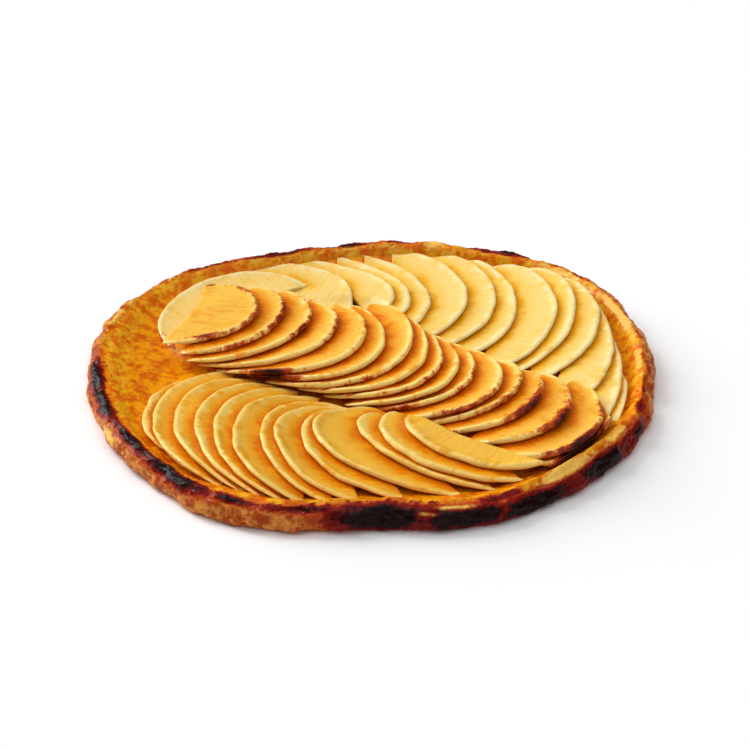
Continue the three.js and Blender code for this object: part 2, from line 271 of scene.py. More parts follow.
DIP_START = 0.0  # from the middle fan's edge inwards, the two fans under it are pressed down
DIP_END = 7.0  # this far inside it, their height over the floor is less by the share below
DIP_SHARE = 0.62
LEAN_START = -12.0  # from this far outside it, the lower fan rises towards it
LEAN = 1.9

# By fan: the height of the ridge, how high peel edges curl, and how rough the top is.
RIDGE_HEIGHT = {"upper": 0.25, "lower": 0.6, "middle": 0.55}
CURL_HEIGHT = {"upper": 0.7, "lower": 1.0, "middle": 0.9}
ROUGHNESS = {"upper": 0.7, "lower": 1.0, "middle": 1.7}

# Where slices are browned: fan, number from 0, centre and half length along the slice (-1 to 1),
# centre and half width in mm in from the peel edge, strength.
BROWNED = (
    ("middle", 16, 0.93, 0.1, 5.0, 4.0, 1.0),
    ("middle", 16, -0.58, 0.12, 2.5, 3.4, 0.95),
    ("middle", 16, -0.93, 0.06, 7.0, 3.0, 0.6),
    ("middle", 16, 0.1, 0.8, 0.0, 2.0, 0.6),
    ("middle", 16, 0.6, 0.35, 0.5, 4.0, 0.5),
    ("middle", 15, 0.2, 0.5, 0.0, 2.4, 0.75),
    ("middle", 15, -0.5, 0.3, 0.0, 2.0, 0.5),
    ("middle", 14, 0.11, 0.16, 0.0, 2.4, 0.85),
    ("middle", 14, 0.89, 0.12, 0.0, 2.0, 0.7),
    ("middle", 14, 0.4, 0.5, 0.0, 1.6, 0.45),
    ("middle", 13, 0.94, 0.1, 0.0, 2.5, 0.8),
    ("middle", 13, 0.3, 0.35, 0.0, 2.0, 0.55),
    ("middle", 12, 0.56, 0.2, 0.0, 2.0, 0.55),
    ("middle", 12, -0.62, 0.16, 0.0, 3.0, 1.0),
    ("middle", 11, -0.8, 0.2, 0.5, 3.0, 1.0),
    ("middle", 10, -0.2, 0.5, 0.0, 1.4, 0.35),
    ("middle", 8, 0.1, 0.6, 0.0, 1.4, 0.36),
    ("middle", 6, -0.75, 0.22, 0.0, 2.0, 0.7),
    ("middle", 6, 0.2, 0.5, 0.0, 1.5, 0.42),
    ("middle", 5, -0.86, 0.14, 0.0, 2.5, 0.9),
    ("middle", 5, -0.2, 0.45, 0.0, 1.8, 0.55),
    ("middle", 4, 0.0, 0.5, 0.0, 1.8, 0.5),
    ("middle", 3, 0.0, 0.34, 0.5, 3.8, 0.9),
    ("middle", 3, -0.83, 0.14, 0.0, 3.0, 0.8),
    ("middle", 2, 0.03, 0.32, 0.5, 3.8, 0.95),
    ("middle", 2, -0.97, 0.08, 0.0, 3.0, 0.8),
    ("middle", 1, 0.42, 0.12, 0.0, 2.5, 0.7),
    ("middle", 1, -0.15, 0.38, 0.0, 3.4, 1.0),
    ("middle", 0, -0.1, 0.5, 0.0, 5.0, 1.3),
    ("upper", 11, -0.81, 0.08, 0.0, 2.0, 0.5),
    ("upper", 13, 0.95, 0.25, 3.0, 9.0, 0.42),
)

# ---- finer shapes of the crust -----------------------------------------------------------------
SPOKES = 1100
RIM_STEPS = 5  # rings made from each step of the rim's section
FLOOR_RINGS = (0, 5, 12, 24, 40, 70)  # distances of the floor's rings from the rim's inner foot
LUMPS = ((6.0, 0.6, 1), (1.9, 0.32, 2), (0.8, 0.13, 3))  # length, height of the waves, seed
FLAKE_SIZE = (8.0, 1.1)  # layers of pastry show on the outer side: their length and height
FLAKE_STAND = 0.45
FLAKE_SEED = 4

# Places over the rim, from 0 (outer foot) to 1 (inner foot) and on to 2 over the floor. A row of
# four says where something comes in, and where it dies out.
RELIEF_START = (0.02, 0.1)
LUMPY_RIM = (0.02, 0.12, 0.62, 0.8)
FLAKY_SIDE = (0.02, 0.1, 0.45, 0.6)
CALM_FLOOR = (1.0, 1.05)
LUMPS_OFF_RIM = 0.25  # the share of the lumps that is left beside the rim
CALMING = 0.7  # the share of those that goes on the floor

MOUND_IN_FAN = (4, 12)  # the mound rises between these distances inside the middle fan's sides
MOUND_IN_RIM = (8, 20)  # and between these inside the rim
GLAZE_RISE = 3.0  # glaze stands this high where the front slices meet the rim
GLAZE_REACH = 7.2  # and thins out over this distance
GLAZE_START = (-4.5, -0.5)  # it starts a little way up the rim's inner wall
GLAZE_DIRECTIONS = (222, 247, 327, 352)  # directions where it comes in, and where it dies out
GLAZE_CHANGE = 0.35
GLAZE_WAVE = 11.0
GLAZE_SEED = 5

# How far each part of the rim is burnt: direction in degrees, half the angle it covers, place
# over the rim from 0 (outer foot) to 1 (inner foot), half its width there, strength.
BURNS = (
    (184, 9, 0.5, 0.2, 1.25),
    (196, 9, 0.5, 0.18, 1.25),
    (212, 12, 0.53, 0.15, 1.2),
    (229, 11, 0.5, 0.17, 1.25),
    (243, 8, 0.52, 0.1, 0.95),
    (257, 9, 0.5, 0.12, 0.95),
    (272, 12, 0.34, 0.3, 1.3),
    (288, 12, 0.3, 0.3, 1.25),
    (304, 12, 0.26, 0.28, 1.25),
    (297, 7, 0.6, 0.14, 0.85),
    (322, 12, 0.28, 0.24, 1.2),
    (336, 7, 0.32, 0.2, 0.9),
    (343, 4, 0.52, 0.16, 0.9),
    (350, 3, 0.55, 0.09, 0.6),
    (358, 3, 0.5, 0.08, 0.6),
    (12, 3, 0.55, 0.08, 0.6),
    (40, 4, 0.6, 0.1, 0.7),
    (58, 9, 0.58, 0.14, 0.95),
    (82, 6, 0.56, 0.12, 0.75),
    (96, 9, 0.58, 0.13, 0.85),
    (113, 10, 0.58, 0.14, 0.9),
    (129, 8, 0.56, 0.12, 0.8),
    (150, 5, 0.56, 0.09, 0.5),
    (168, 5, 0.56, 0.12, 0.55),
)

# Golden patches, laid out in the same way.
GOLDS = (
    (206, 5, 0.26, 0.12, 0.9),
    (281, 2.5, 0.38, 0.05, 0.5),
    (287, 4, 0.5, 0.06, 0.85),
    (312, 8, 0.6, 0.12, 1.3),
    (330, 8, 0.64, 0.12, 0.8),
    (75, 3, 0.6, 0.2, 1.0),
    (22, 11, 0.7, 0.14, 1.1),
    (2, 6, 0.7, 0.12, 1.0),
    (45, 9, 0.72, 0.14, 0.7),
    (90, 40, 0.78, 0.12, 0.5),
    (160, 12, 0.6, 0.14, 0.6),
)

# ---- colours -----------------------------------------------------------------------------------
WHITE_LIGHT = 1.04  # about how bright a white, level surface is in the tart's light


def seen(red, green, blue):
    """The shader's colour for what looks like this, 0 to 255, where the tart stands."""
    shares = (value / 255 for value in (red, green, blue))
    linear = (s / 12.92 if s <= 0.04045 else ((s + 0.055) / 1.055) ** 2.4 for s in shares)
    return (*(value / WHITE_LIGHT for value in linear), 1.0)


# By fan: a paler ridge colour along the peel edge, which is a painted highlight where the raised edge
# catches light; the open face; a deeper colour, the flesh's own in patches and painted shade towards
# the next slice's edge; glaze at the next slice's edge, darkened with painted shade of the recess
# there; and how strongly the painted shade comes in.
APPLE_COLOURS = {
    "upper": (seen(253, 230, 160), seen(252, 214, 126), seen(248, 196, 70), seen(242, 166, 12), 0.9),
    "lower": (seen(252, 212, 112), seen(250, 192, 66), seen(240, 158, 8), seen(222, 118, 0), 1.0),
    "middle": (seen(255, 224, 128), seen(254, 196, 76), seen(242, 146, 4), seen(226, 108, 0), 1.0),
}

# What browned apple and burnt pastry turn to as they get darker: each colour comes in between two
# degrees of browning.
BROWN_APPLE = (
    (0.2, 0.5, seen(205, 92, 14)),
    (0.45, 0.75, seen(134, 34, 10)),
    (0.75, 1.0, seen(52, 16, 14)),
)
BURNT_PASTRY = (
    (0.22, 0.4, seen(190, 66, 6)),
    (0.36, 0.55, seen(132, 16, 6)),
    (0.58, 1.0, seen(26, 1, 3)),
)

# Noise in the colours: length of its waves in mm, detail.
APPLE_PATCHES = (9.0, 3.0)
APPLE_MOTTLE = (3.0, 3.0)
APPLE_GRAIN = (0.8, 4.0)
APPLE_STREAKS = (1.5, 3.0)
STREAK_ALONG = 40.0  # mm of streaky noise to half a slice's length
STREAK_INWARD = 0.12  # the smaller, the longer the streaks run from peel edge to core side
STREAK_BEND = 2.0
PASTRY_PATCHES = (6.0, 3.0)
PASTRY_MOTTLE = (2.2, 4.0)
PASTRY_GRAIN = (0.9, 4.0)
PASTRY_BUMPS = (0.8, 5.0)

# Apple: how far, in mm, patches and streaks shift the edges of what follows, and then between
# which distances or shares of the way from peel edge to next slice each colour comes in.
NO_NEXT_EDGE = 40.0  # the distance to a next slice where there is none
LEAST_FACE = 0.01  # keeps that share safe where two peel edges meet
SHIFT_BY_PATCHES = 5.0
SHIFT_BY_STREAKS = 3.0
SHARE_SHIFT = 0.05
# painted shade: the distances and shares of the way over which the deeper colour comes in towards the
# next slice's edge
RECESS_SHADE_DISTANCE = (1.0, 9.0)
RECESS_SHADE_SHARE = (0.25, 0.6)
BLUSH_STREAKS = 0.8
BLUSH = (0.0, 0.5, 0.0, 0.6)
# the width over which the painted highlight along the raised peel edge fades out
RIDGE_HIGHLIGHT_WIDTH = (0.8, 3.4)
# glaze pooled at the next slice's edge, darkened there with painted shade of the recess
GLAZE_AND_SHADE_DISTANCE = (0.2, 4.2)
GLAZE_AND_SHADE_SHARE = (0.45, 0.8)
BROWN_BY_MOTTLE = 0.55
BROWN_BY_GRAIN = 0.3
GLOSS = (0.0, 4.0, 0.25, 0.42)  # distances to the next slice, and the roughness at each
BUMPS_BY_GRAIN = 0.6
BUMPS_BY_STREAKS = 0.5
APPLE_BUMP = 0.3
APPLE_FINISH = {
    "subsurface_weight": 0.12,
    "subsurface_radius": (1.0, 0.5, 0.2),
    "subsurface_scale": 2 * MM,
    "specular_ior_level": 0.08,
    "coat_weight": 0.35,
    "coat_roughness": 0.06,
}

# Pastry: a darker and a lighter tone of its outer side, its inner wall and the glazed floor.
OUTER_TONES = (seen(172, 64, 10), seen(232, 150, 66))
INNER_TONES = (seen(232, 108, 0), seen(255, 186, 30))
FLOOR_TONES = (seen(214, 96, 0), seen(246, 160, 8))
GOLDEN = seen(255, 200, 92)
RIM_TONE_RANGE = (-0.35, 0.4)
FLOOR_TONE_RANGE = (-0.4, 0.35)
TONE_BY_MOTTLE = 0.8
TONE_BY_LUMPS = 0.35
INNER_FROM = (0.5, 0.68)  # places over the rim where the inner wall's and the floor's tones begin
FLOOR_FROM = (0.9, 1.0)
CHAR_BY_TONE = 0.4
CHAR_BY_GRAIN = 0.2
GOLD_BY_TONE = 0.5
GOLD_RANGE = (0.3, 0.85)
PASTRY_GLOSS = (0.5, 0.9, 0.5, 0.3)  # places over the rim, and the roughness at each
PASTRY_BUMP = 0.45
PASTRY_FINISH = {"specular_ior_level": 0.04, "coat_weight": 0.15, "coat_roughness": 0.06}


# ---- helpers -----------------------------------------------------------------------------------
WORD = 0xFFFFFFFF
SMALL = 1e-9  # keeps divisions safe
SEED_STRIDE = (13.7, 7.3, 3.1)  # how far apart neighbouring seeds lie in the noise
NOISE_LAYERS = (1.0, 2.0, 2)  # how much weaker and how much finer each layer is, and their number


def seeded(seed):
    """A repeatable stream of numbers from 0 to 1, the same one that the solids draw from."""
    state = seed
    while True:
        state = (state + 0x6D2B79F5) & WORD
        mixed = (state ^ (state >> 15)) * (1 | state) & WORD
        mixed = ((mixed + (mixed ^ (mixed >> 7)) * (61 | mixed)) & WORD) ^ mixed
        yield (mixed ^ (mixed >> 14)) / (WORD + 1)


def curve_between(v, low, high, start, end):
    """A curve from low to high while v goes from 0 to 1, with these slopes at its ends."""
    rise = high - low
    return low + v * (start + v * (3 * rise - 2 * start - end + v * (start + end - 2 * rise)))


def through(rows, t):
    """A smooth curve through rows (t, a, b, ...): the values (a, b, ...) at each t."""
    rows = np.array(rows, float)
    t = np.asarray(t, float)
    knots, values = rows[:, 0], rows[:, 1:]
    before = np.maximum(np.arange(len(knots)) - 1, 0)
    after = np.minimum(np.arange(len(knots)) + 1, len(knots) - 1)
    slopes = (values[after] - values[before]) / (knots[after] - knots[before])[:, None]
    i = np.clip(np.searchsorted(knots, t, side="right") - 1, 0, len(knots) - 2)
    span = (knots[i + 1] - knots[i])[..., None]
    u = (t - knots[i])[..., None] / span
    v = np.clip(u, 0, 1)
    start, end = slopes[i] * span, slopes[i + 1] * span
    inside = curve_between(v, values[i], values[i + 1], start, end)
    return inside + (u - v) * np.where(u < 0, start, end)


def refined(values, steps):
    """More points on a smooth curve through values along their last axis."""
    before = np.concatenate([values[..., :1], values[..., :-1]], -1)
    after = np.concatenate([values[..., 1:], values[..., -1:]], -1)
    slopes = (after - before) / 2
    ends = (side for line in (values, slopes) for side in (line[..., :-1, None], line[..., 1:, None]))
    inside = curve_between(np.arange(steps) / steps, *ends)
    return np.concatenate([inside.reshape(*values.shape[:-1], -1), values[..., -1:]], -1)


def soft_floor(x, softness):
    return 0.5 * (x + np.hypot(x, softness))


def smoothstep(low, high, x):
    v = np.clip((x - low) / (high - low), 0, 1)
    return v * v * (3 - 2 * v)


def plateau(rise_from, rise_to, fall_from, fall_to, x):
    return smoothstep(rise_from, rise_to, x) * (1 - smoothstep(fall_from, fall_to, x))


def wavy(mean, rows, angle):
    """A mean with waves round the tart on it: rows (number of waves, height, where one crests)."""
    return mean + sum(
        height * np.cos(waves * (angle - math.radians(crest))) for waves, height, crest in rows
    )


def noise_at(points, size, seed):
    """Smooth noise from about -1 to 1 at each point; `size` is the length of its waves."""
    offset = Vector([seed * stride for stride in SEED_STRIDE])
    flat = points.reshape(-1, 3)
    values = [noise.fractal(Vector(point) / size + offset, *NOISE_LAYERS) for point in flat]
    return np.array(values).reshape(points.shape[:-1])


def strongest_patch(rows, away_from, across):
    """How strong the strongest patch is at each place. Rows give a patch's place along and half
    its length, its place across and half its width, and its strength; `away_from` gives the
    distances along from a place."""
    total = np.zeros(across.shape)
    for place_along, half_length, place_across, half_width, strength in rows:
        along = away_from(place_along) / half_length
        patch = strength * np.exp(-(along**2) - ((across - place_across) / half_width) ** 2)
        total = np.maximum(total, patch)
    return total


# ---- the tart's outline and floor --------------------------------------------------------------
def outline_radius(angle):
    return wavy(TART_RADIUS, OUTLINE_WAVES, angle)


def inner_foot_radius(angle):
    first = RIM_WIDTH[0][0]
    degrees = (np.degrees(angle) - first) % 360 + first
    return outline_radius(angle) - through(RIM_WIDTH, degrees)[..., 0]


def floor_height(x, y):
    inside = inner_foot_radius(np.arctan2(y, x)) - np.hypot(x, y)
    nearness = np.clip(1 - inside / FOOT_RISE_WIDTH, 0, 1)
    return FLOOR_TOP + FOOT_RISE * nearness**2


def layers_under(fan, x, y):
    climb = math.radians(fan["climb"])
    aside = x * math.sin(climb) - y * math.cos(climb) - fan["bow_centre"]
    way = x * math.cos(climb) + y * math.sin(climb) - fan["bow"] * aside**2
    return soft_floor(through(fan["layers"], way)[..., 0], LAYER_SOFTNESS)


def middle_band():
    """The middle fan's two long sides: rows (way along the fan, way across it), by side."""
    climb = math.radians(MIDDLE["climb"])
    along = np.array((math.cos(climb), math.sin(climb)))
    across = np.array((math.sin(climb), -math.cos(climb)))
    values = through(MIDDLE["knots"], np.arange(MIDDLE["count"]))
    sides = []
    for tip in (values[:, 2:4], values[:, 4:6]):
        order = np.argsort(tip @ along)
        sides.append(((tip @ along)[order], (tip @ across)[order]))
    return along, across, sides


BAND = middle_band()


def depth_in_band(x, y):
    """How far a place lies inside the middle fan's nearest long side; negative outside."""
    along, across, (upper, lower) = BAND
    way = x * along[0] + y * along[1]
    side = x * across[0] + y * across[1]
    return np.minimum(np.interp(way, *upper) - side, side - np.interp(way, *lower))


# ---- apple slices ------------------------------------------------------------------------------
def slice_seed(fan, number):
    return SLICE_SEEDS * FANS.index(fan) + number


def slice_curves(fan, number):
    """The peel edge and the core side of a whole slice, as functions of turn, -1 to 1."""
    random = seeded(JITTER_SEEDS * (FANS.index(fan) + 1) + number)
    knots = through(fan["knots"], number)
    mx, my, ux, uy, lx, ly = (value + SLICE_JITTER * (2 * next(random) - 1) for value in knots)
    upper, lower = np.array((ux, uy)), np.array((lx, ly))
    centre = (upper + lower) / 2
    bulge = np.array((mx, my)) - centre
    half = upper - centre
    dip = CORE_DIP / np.hypot(*bulge)

    def place(depth, way):
        return centre + depth[..., None] * bulge + way[..., None] * half

    def peel(turn):
        return place(np.cos(turn * math.pi / 2), np.sin(turn * math.pi / 2))

    def core(turn):
        quarter = turn * math.pi / 2
        return place(dip * np.cos(quarter) ** 2, CORE_LENGTH * np.sin(quarter))

    return peel, core


def keep_inside_rim(points):
    limit = inner_foot_radius(np.arctan2(points[..., 1], points[..., 0])) - CLEARANCE
    length = np.hypot(points[..., 0], points[..., 1])
    return points * np.minimum(1, limit / length)[..., None]


def grid_between(outer, inner, seed):
    """A grid of places from the peel edge to the core side, with a peel edge that wanders."""
    across = np.linspace(0, 1, ACROSS_STEPS + 1) ** ACROSS_CROWDING
    grid = outer[:, None] + across[None, :, None] * (inner - outer)[:, None]
    edge = np.concatenate([outer, np.zeros((len(outer), 1))], -1)
    wobble = sum(height * noise_at(edge, size, seed) for size, height in WOBBLES)
    width = np.linalg.norm(outer - inner, axis=-1, keepdims=True)
    outward = (outer - inner) / np.maximum(width, SMALL)
    fade = np.exp(-across[None, :] * width / WOBBLE_DEPTH) * np.minimum(1, width / WOBBLE_DEPTH)
    return grid + (fade * wobble[:, None])[..., None] * outward[:, None]


def slice_plan(fan, number):
    """A slice in plan: a grid of places, along it (rows) and from peel edge to core side."""
    peel, core = slice_curves(fan, number)

    def sinks(points):
        return number - layers_under(fan, points[..., 0], points[..., 1]) < LOWEST_LEVEL

    def reach(side):
        turn = LEAST_REACH
        while turn < 1 and not sinks(peel(np.array(side * (turn + TRIM_STEP)))):
            turn += TRIM_STEP
        return min(turn, 1)

    along = np.linspace(-1, 1, ALONG_STEPS + 1)
    turn = along * np.where(along < 0, reach(-1), reach(1))
    outer, inner = peel(turn), core(turn)
    shares = np.arange(1, LEAST_WIDTH, -TRIM_STEP)
    sunk = sinks(outer[:, None] + shares[None, :, None] * (inner - outer)[:, None])
    first = np.where(sunk.all(1), len(shares) - 1, np.argmin(sunk, 1))
    inner = outer + shares[first][:, None] * (inner - outer)
    return along[:, None], keep_inside_rim(grid_between(outer, inner, slice_seed(fan, number)))


def distance_to(points, line):
    """The distance from each point to a line of points."""
    ends = line[1:] - line[:-1]
    lengths = np.maximum((ends**2).sum(1), SMALL)
    offset = points[..., None, :] - line[:-1]
    t = np.clip((offset * ends).sum(-1) / lengths, 0, 1)
    return np.linalg.norm(offset - t[..., None] * ends, axis=-1).min(-1)


def slice_bottom(fan, number, along, places, inward):
    """How high a slice's underside lies over the crust's floor."""
    x, y = places[..., 0], places[..., 1]
    level = number - layers_under(fan, x, y) - LOWEST_LEVEL
    ripple = RIPPLE * noise_at(places, RIPPLE_WAVE, FANS.index(fan))
    bottom = CLEARANCE + fan["lift"] + (fan["thickness"] + CLEARANCE) * level + ripple
    bottom -= HEAP_SUNK * number / fan["count"]
    own = CURL_OWN * next(seeded(CURL_SEED + slice_seed(fan, number)))
    change = CURL_CHANGE * noise_at(places[:, :1], CURL_WAVE, slice_seed(fan, number))
    curl = CURL_HEIGHT[fan["name"]] * np.maximum(CURL_EVEN + own + change, 0)
    bottom += curl * np.exp(-inward / CURL_WIDTH) * (1 - along**2)
    depth = depth_in_band(x, y)
    if fan is LOWER:
        bottom += LEAN * smoothstep(LEAN_START, 0, depth)
    if fan is not MIDDLE:
        bottom *= 1 - DIP_SHARE * smoothstep(DIP_START, DIP_END, depth)
    return np.maximum(bottom - END_SINK * along**END_POWER, LEAST_BOTTOM)


def slice_relief(fan, number, places, inward):
    """The ridge along a slice's peel edge and the grain of its top, as heights."""
    seed = slice_seed(fan, number)
    share = np.maximum(RIDGE_EVEN + RIDGE_CHANGE * noise_at(places, RIDGE_WAVE, seed + RIDGE_SEED), 0)
    ridge = share * np.exp(-(((inward - RIDGE_INWARD) / RIDGE_WIDTH) ** 2))
    grain = sum(height * noise_at(places, size, seed) for size, height in GRAIN)
    return RIDGE_HEIGHT[fan["name"]] * ridge + ROUGHNESS[fan["name"]] * grain


def slice_facts(fan, number, along, grid, inward):
    """What a slice's colours depend on, at each point: how far in from its peel edge, how far
    along it, how far from the next slice's edge it is, and how browned."""
    browned = [row[2:] for row in BROWNED if row[:2] == (fan["name"], number)]
    facts = {
        "inward": inward,
        "along": np.broadcast_to(along, inward.shape),
        "next_edge": np.full(inward.shape, NO_NEXT_EDGE),
        "brown": strongest_patch(browned, lambda place: along - place, inward),
    }
    if number + 1 < fan["count"]:
        next_slice = slice_plan(fan, number + 1)[1]
        facts["next_edge"] = distance_to(grid, next_slice[:, 0])
    return facts


def slice_piece(fan, number):
    """One apple slice as a closed mesh."""
    along, grid = slice_plan(fan, number)
    x, y = grid[..., 0], grid[..., 1]
    inward = np.hypot(x - x[:, :1], y - y[:, :1])
    places = np.stack([x, y, 0 * x], -1)
    edge = 1 - np.clip(inward / EDGE_ROUNDING, 0, 1)
    ends = 1 - END_THINNING * along**END_POWER
    swell = (1 - edge**EDGE_POWER) ** (1 / EDGE_POWER) * ends
    half_thickness = 0.5 * (fan["thickness"] + GAP_FILLED)
    bottom = slice_bottom(fan, number, along, places, inward)
    middle = floor_height(x, y) + bottom + half_thickness
    relief = slice_relief(fan, number, places, inward)
    top = np.stack([x, y, middle + swell * (half_thickness + relief)], -1)
    under = np.stack([x, y, middle - swell * half_thickness], -1)
    facts = slice_facts(fan, number, along, grid, inward)
    return slab_mesh(f"apple_{fan['name']}_{number + 1}", top, under, facts)


def slab_mesh(name, top, under, facts):
    """A closed mesh between two grids of points that meet along their first column."""
    rows, columns = top.shape[:2]
    top_index = np.arange(rows * columns).reshape(rows, columns)
    under_index = top_index + rows * columns
    under_index[:, 0] = top_index[:, 0]
    core_side = np.stack([top_index[:, -1], under_index[:, -1]], -1)
    faces = quads(top_index) + quads(under_index[:, ::-1]) + quads(core_side)
    for i, flip in ((0, False), (rows - 1, True)):
        for j in range(columns - 1):
            face = [top_index[i, j], top_index[i, j + 1], under_index[i, j + 1], under_index[i, j]]
            if face[0] == face[-1]:
                face.pop()
            faces.append([int(k) for k in (reversed(face) if flip else face)])
    points = np.concatenate([top.reshape(-1, 3), under.reshape(-1, 3)])
    values = {key: np.concatenate([value.reshape(-1)] * 2) for key, value in facts.items()}
    return finished_mesh(name, points, faces, values)


def quads(index):
    """The four-sided faces between neighbours in a grid of point numbers."""
    corners = (index[:-1, :-1], index[1:, :-1], index[1:, 1:], index[:-1, 1:])
    return np.stack(corners, -1).reshape(-1, 4).tolist()


def add_object(name, data):
    thing = bpy.data.objects.new(name, data)
    bpy.context.scene.collection.objects.link(thing)
    return thing


def finished_mesh(name, points, faces, values):
    """A smooth-shaded object from points in mm, with one float attribute for each of values."""
    used = np.zeros(len(points), bool)
    used[[i for face in faces for i in face]] = True
    index = (np.cumsum(used) - 1).tolist()
    points = points[used] + np.array((*PLAN_SHIFT, 0.0))
    mesh = bpy.data.meshes.new(name)
    mesh.from_pydata((points * MM).tolist(), [], [[index[i] for i in face] for face in faces])
    for key, value in values.items():
        attribute = mesh.attributes.new(key, "FLOAT", "POINT")
        attribute.data.foreach_set("value", np.asarray(value, np.float32)[used])
    mesh.polygons.foreach_set("use_smooth", [True] * len(mesh.polygons))
    mesh.update()
    if signed_volume(mesh) < 0:
        mesh.flip_normals()
    return add_object(name, mesh)


def signed_volume(mesh):
    """Six times the volume that a mesh closes in; negative where it is inside out."""
    mesh.calc_loop_triangles()
    points = np.empty(len(mesh.vertices) * 3)
    mesh.vertices.foreach_get("co", points)
    points = points.reshape(-1, 3)
    corners = np.empty(len(mesh.loop_triangles) * 3, int)
    mesh.loop_triangles.foreach_get("vertices", corners)
    a, b, c = (points[corners.reshape(-1, 3)[:, k]] for k in range(3))
    return (a * np.cross(b, c)).sum()


# ---- crust -------------------------------------------------------------------------------------
def crag(angle, over):
    return sum(
        height * np.sin(waves * angle + 2 * math.pi * (across * over + phase))
        for waves, across, phase, height in CRAG_WAVES
    )


def crust_section(angle):
    """The crust's cross-section at each angle: distances from the centre and heights, and how
    far over the rim each point is, from 0 at the outer foot to 1 at the inner foot."""
    edge, foot = outline_radius(angle), inner_foot_radius(angle)
    crest = wavy(RIM_HEIGHT, CREST_WAVES, angle)
    radii, heights, overs = [], [], []
    steps = len(RIM_SECTION)
    last_over = steps + len(INNER_WALL)
    for i, (inward, share) in enumerate(RIM_SECTION):
        stand = 0 * angle if i == 0 else crag(angle, i / steps)
        radii.append(edge - inward + (stand if inward < CREST_IN else 0))
        heights.append(crest * share + (0 if i < 2 else CRAG_LIFT * stand))
        overs.append(i / last_over)
    lip_radius, lip_height = radii[-1], heights[-1]

    def ground(radius):
        return floor_height(radius * np.cos(angle), radius * np.sin(angle))

    for i, way in enumerate(INNER_WALL):
        radii.append(lip_radius + way * (foot - lip_radius))
        heights.append(lip_height + smoothstep(0, 1, way) * (ground(foot) - lip_height))
        overs.append((steps + i) / last_over)
    for inward in FLOOR_RINGS:
        radii.append(foot - inward)
        heights.append(ground(foot - inward))
        overs.append(1 + inward / FLOOR_RINGS[-1])
    section = (np.stack(radii, -1), np.stack(heights, -1), np.array(overs))
    return [refined(values, RIM_STEPS) for values in section]


def crust_normals(points):
    """The direction straight out of the crust's upper side at each point of its grid."""
    along = np.gradient(points, axis=1)
    around = np.roll(points, -1, 0) - np.roll(points, 1, 0)
    normal = np.cross(around, along)
    normal /= np.maximum(np.linalg.norm(normal, axis=-1, keepdims=True), SMALL)
    return normal * np.sign(normal[:, -1:, 2:])


def crust_relief(points, over, lumps):
    """How far lumps and flaky layers stand out of the crust's smooth form."""
    length, height = FLAKE_SIZE
    flakes = noise_at(points / (length, length, height), 1.0, FLAKE_SEED)
    share = LUMPS_OFF_RIM + (1 - LUMPS_OFF_RIM) * plateau(*LUMPY_RIM, over)
    share = share * smoothstep(*RELIEF_START, over) * (1 - CALMING * smoothstep(*CALM_FLOOR, over))
    return share * lumps + FLAKE_STAND * plateau(*FLAKY_SIDE, over) * flakes


def glaze_at(degrees, inside, points):
    """How deep the glaze stands at the foot of the rim in front, from 0 to about 1."""
    uneven = 1 + GLAZE_CHANGE * noise_at(points, GLAZE_WAVE, GLAZE_SEED)
    fall = np.exp(-((np.maximum(inside, 0) / GLAZE_REACH) ** 2))
    return plateau(*GLAZE_DIRECTIONS, degrees) * uneven * fall * smoothstep(*GLAZE_START, inside)


def crust_faces(index, top, foot):
    """Faces for a grid of point numbers that closes round the tart, with a point at the middle of
    the floor and one under it."""
    closed = np.concatenate([index, index[:1]])
    faces = quads(closed)
    for here, there in zip(closed[:-1].tolist(), closed[1:].tolist()):
        faces.append([here[-1], there[-1], top])
        faces.append([there[0], here[0], foot])
    return faces


def crust_piece():
    """The whole crust as a closed mesh with a flat underside."""
    angle = np.arange(SPOKES) * 2 * math.pi / SPOKES
    degrees = np.degrees(angle)[:, None]
    radius, height, over = crust_section(angle)
    smooth = np.stack([radius * np.cos(angle)[:, None], radius * np.sin(angle)[:, None], height], -1)
    lumps = sum(high * noise_at(smooth, size, seed) for size, high, seed in LUMPS)
    points = smooth + crust_relief(smooth, over, lumps)[..., None] * crust_normals(smooth)
    x, y = points[..., 0], points[..., 1]
    inside = inner_foot_radius(angle)[:, None] - np.hypot(x, y)
    mound = smoothstep(*MOUND_IN_FAN, depth_in_band(x, y)) * smoothstep(*MOUND_IN_RIM, inside)
    points[..., 2] += (MIDDLE["lift"] + CLEARANCE - MOUND_DROP) * mound
    points[..., 2] += GLAZE_RISE * glaze_at(degrees, inside, smooth)
    points[..., 2] = np.maximum(points[..., 2], 0)

    def away_from(direction):
        return (degrees - direction + 180) % 360 - 180

    overs = np.broadcast_to(over, height.shape)
    facts = {
        "over": overs,
        "burn": strongest_patch(BURNS, away_from, overs),
        "gold": strongest_patch(GOLDS, away_from, overs),
        "lump": lumps,
    }
    values = {key: np.append(value.reshape(-1), (0, 0)) for key, value in facts.items()}
    top, foot = height.size, height.size + 1
    values["over"][top] = over[-1]
    faces = crust_faces(np.arange(height.size).reshape(height.shape), top, foot)
    middles = [(0, 0, points[:, -1, 2].mean()), (0, 0, 0)]
    return finished_mesh("crust_baked", np.concatenate([points.reshape(-1, 3), middles]), faces, values)


